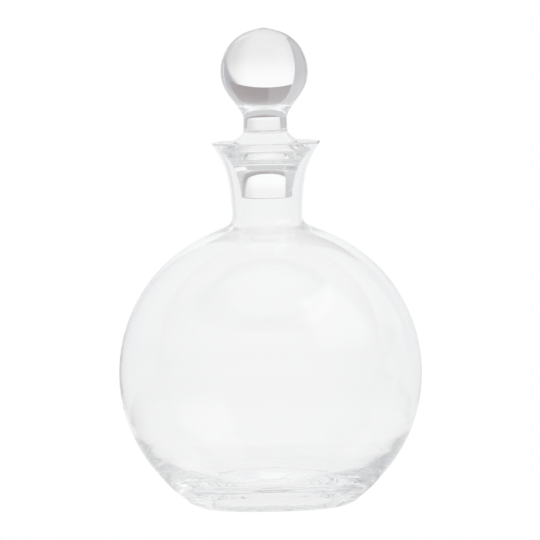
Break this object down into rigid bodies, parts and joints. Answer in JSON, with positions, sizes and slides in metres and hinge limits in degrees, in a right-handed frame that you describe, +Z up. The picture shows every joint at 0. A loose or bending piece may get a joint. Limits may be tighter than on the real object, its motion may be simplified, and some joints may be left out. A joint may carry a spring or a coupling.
{
  "type": "decanter",
  "caption": "Clear glass globe decanter with a short neck, a flared mouth and a solid ball stopper that lifts out.",
  "frame": {"origin": "centre of the standing ring, on the surface that the bottle stands on", "axes": "+Z up along the common axis of the bottle and its stopper; X and Y are free, because both pieces are turned shapes"},
  "size_m": [0.1514, 0.1514, 0.2405],
  "materials": {
    "bottle_glass": "clear colourless blown glass, fire polished, with faint waves and cords in the thick bottom",
    "stopper_glass": "clear colourless solid glass, polished"
  },
  "bodies": {
    "bottle": {"bottle": "bottle_glass"},
    "stopper": {"stopper": "stopper_glass"}
  },
  "joints": [
    {"name": "stopper_lift", "type": "slide", "parent": "bottle", "child": "stopper", "axis": [0, 0, 1], "range_m": [0, 0.06]}
  ]
}
